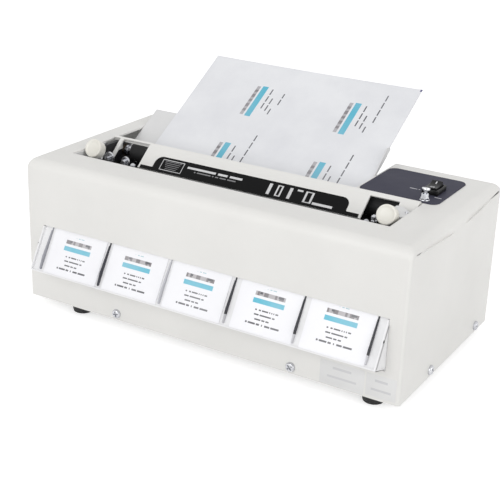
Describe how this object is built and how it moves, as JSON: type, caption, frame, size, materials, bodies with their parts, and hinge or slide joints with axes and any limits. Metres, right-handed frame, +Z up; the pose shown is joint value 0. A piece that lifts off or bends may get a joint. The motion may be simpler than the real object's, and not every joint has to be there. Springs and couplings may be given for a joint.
{
  "type": "business card cutter",
  "caption": "Electric desk machine that slits and cross cuts a printed sheet into business cards, with a paper throat, switches and a laned card chute.",
  "frame": {"origin": "middle of the whole object's box in X and Y, on the table that the feet stand on", "axes": "+X to the right seen from the front, +Y from the front to the rear, +Z up"},
  "size_m": [0.3548, 0.2422, 0.1855],
  "materials": {
    "housing_paint": "fine satin off-white paint",
    "hood_paint": "satin off-white paint",
    "label_black": "smooth black printed film",
    "chute_paint": "satin white paint",
    "panel_film": "matt blue-grey film",
    "knob_plastic": "smooth white plastic",
    "switch_black": "smooth black plastic",
    "switch_chrome": "polished chrome plate",
    "screw_zinc": "bright zinc plate",
    "rivet_black": "matt black",
    "divider_grey": "matt dark grey plastic",
    "card_paper": "coated card with plain printed bars",
    "foot_rubber": "matt black rubber",
    "frame_black": "matt black paint",
    "rod_steel": "bright drawn steel",
    "shaft_steel": "ground steel",
    "blade_steel": "hardened ground steel",
    "bush_bronze": "dark oiled sintered bronze",
    "roller_rubber": "ground black rubber",
    "gear_plastic": "natural white plastic",
    "motor_steel": "plated steel can",
    "board_green": "green circuit board"
  },
  "bodies": {
    "machine": {"housing": "housing_paint", "base_plate": "housing_paint", "rubber_feet": "foot_rubber", "housing_screws": "screw_zinc", "chute_rivets": "rivet_black", "left_side_frame": "frame_black", "right_side_frame": "frame_black", "tie_rods": "rod_steel", "frame_screws": "screw_zinc", "hood": "hood_paint", "hood_label": "label_black", "knob_bracket_left": "chute_paint", "knob_bracket_right": "chute_paint", "control_panel": "panel_film", "rocker_housing": "switch_black", "toggle_body": "switch_chrome", "card_chute": "chute_paint", "lane_divider_1": "divider_grey", "lane_divider_2": "divider_grey", "lane_divider_3": "divider_grey", "lane_divider_4": "divider_grey", "lane_divider_5": "divider_grey", "lane_divider_6": "divider_grey", "paper_support": "chute_paint", "upper_guide": "frame_black", "lower_guide": "frame_black", "bed_knife": "blade_steel", "paper_sensor": "switch_black", "bushes_left": "bush_bronze", "bushes_right": "bush_bronze", "gear_posts": "screw_zinc", "motor": "motor_steel", "circuit_board": "board_green", "power_inlet": "switch_black"},
    "sheet": {"sheet": "card_paper"},
    "cut_cards": {"card_1": "card_paper", "card_2": "card_paper", "card_3": "card_paper", "card_4": "card_paper", "card_5": "card_paper"},
    "upper_feed": {"upper_feed_shaft": "shaft_steel", "upper_feed_rollers": "roller_rubber", "upper_feed_gear": "gear_plastic"},
    "lower_feed": {"lower_feed_shaft": "shaft_steel", "lower_feed_rollers": "roller_rubber", "lower_feed_gears": "gear_plastic"},
    "upper_slitter": {"upper_disc_shaft": "shaft_steel", "upper_discs": "blade_steel"},
    "lower_slitter": {"lower_disc_shaft": "shaft_steel", "lower_discs": "blade_steel"},
    "cross_cutter": {"cutter_shaft": "shaft_steel", "cutter_blade": "blade_steel", "cutter_gear": "gear_plastic"},
    "idler": {"idler_gear": "gear_plastic"},
    "reduction": {"reduction_gear": "gear_plastic"},
    "pinion": {"motor_pinion": "motor_steel"},
    "rocker": {"rocker": "switch_black"},
    "toggle": {"toggle_lever": "switch_chrome"},
    "knob_l": {"knob_left": "knob_plastic"},
    "knob_r": {"knob_right": "knob_plastic"}
  },
  "joints": [
    {"name": "lower_feed_spin", "type": "hinge", "parent": "machine", "child": "lower_feed", "pos_m": [0, 0.00503, 0.1054], "axis": [1, 0, 0], "continuous": true},
    {"name": "upper_feed_spin", "type": "hinge", "parent": "machine", "child": "upper_feed", "pos_m": [0, -0.00403, 0.12049], "axis": [1, 0, 0], "continuous": true},
    {"name": "upper_slitter_spin", "type": "hinge", "parent": "machine", "child": "upper_slitter", "pos_m": [0, -0.03089, 0.10712], "axis": [1, 0, 0], "continuous": true},
    {"name": "lower_slitter_spin", "type": "hinge", "parent": "machine", "child": "lower_slitter", "pos_m": [0, -0.02636, 0.09261], "axis": [1, 0, 0], "continuous": true},
    {"name": "cross_cutter_spin", "type": "hinge", "parent": "machine", "child": "cross_cutter", "pos_m": [0, -0.05123, 0.10336], "axis": [1, 0, 0], "continuous": true},
    {"name": "idler_spin", "type": "hinge", "parent": "machine", "child": "idler", "pos_m": [0.153, -0.0083, 0.09321], "axis": [1, 0, 0], "continuous": true},
    {"name": "reduction_spin", "type": "hinge", "parent": "machine", "child": "reduction", "pos_m": [0.156, 0.0181, 0.09443], "axis": [1, 0, 0], "continuous": true},
    {"name": "pinion_spin", "type": "hinge", "parent": "machine", "child": "pinion", "pos_m": [0.15, 0.0321, 0.07018], "axis": [1, 0, 0], "continuous": true},
    {"name": "rocker_tilt", "type": "hinge", "parent": "machine", "child": "rocker", "pos_m": [0.13875, 0.02146, 0.1348], "axis": [-1, 0, 0], "range_deg": [0, 18]},
    {"name": "toggle_tilt", "type": "hinge", "parent": "machine", "child": "toggle", "pos_m": [0.1406, -0.00179, 0.136], "axis": [1, 0, 0], "range_deg": [0, 24]},
    {"name": "knob_left_turn", "type": "hinge", "parent": "machine", "child": "knob_l", "pos_m": [-0.1426, -0.04563, 0.1307], "axis": [0, -0.9063, 0.4226], "range_deg": [0, 360]},
    {"name": "knob_right_turn", "type": "hinge", "parent": "machine", "child": "knob_r", "pos_m": [0.1316, -0.04563, 0.1307], "axis": [0, -0.9063, 0.4226], "range_deg": [0, 360]},
    {"name": "sheet_slide", "type": "slide", "parent": "machine", "child": "sheet", "axis": [0, 0.8572, 0.515], "range_m": [0, 0.12]},
    {"name": "cards_slide", "type": "slide", "parent": "machine", "child": "cut_cards", "axis": [0, 0.5, 0.866], "range_m": [0, 0.01]}
  ],
  "couplings": [
    {"joint": "upper_feed_spin", "follows": "lower_feed_spin", "ratio": -1},
    {"joint": "idler_spin", "follows": "lower_feed_spin", "ratio": -1.25},
    {"joint": "lower_slitter_spin", "follows": "lower_feed_spin", "ratio": 1},
    {"joint": "upper_slitter_spin", "follows": "lower_feed_spin", "ratio": -1},
    {"joint": "cross_cutter_spin", "follows": "lower_feed_spin", "ratio": -0.58824},
    {"joint": "reduction_spin", "follows": "lower_feed_spin", "ratio": -1.4286},
    {"joint": "pinion_spin", "follows": "lower_feed_spin", "ratio": 5.2381}
  ]
}
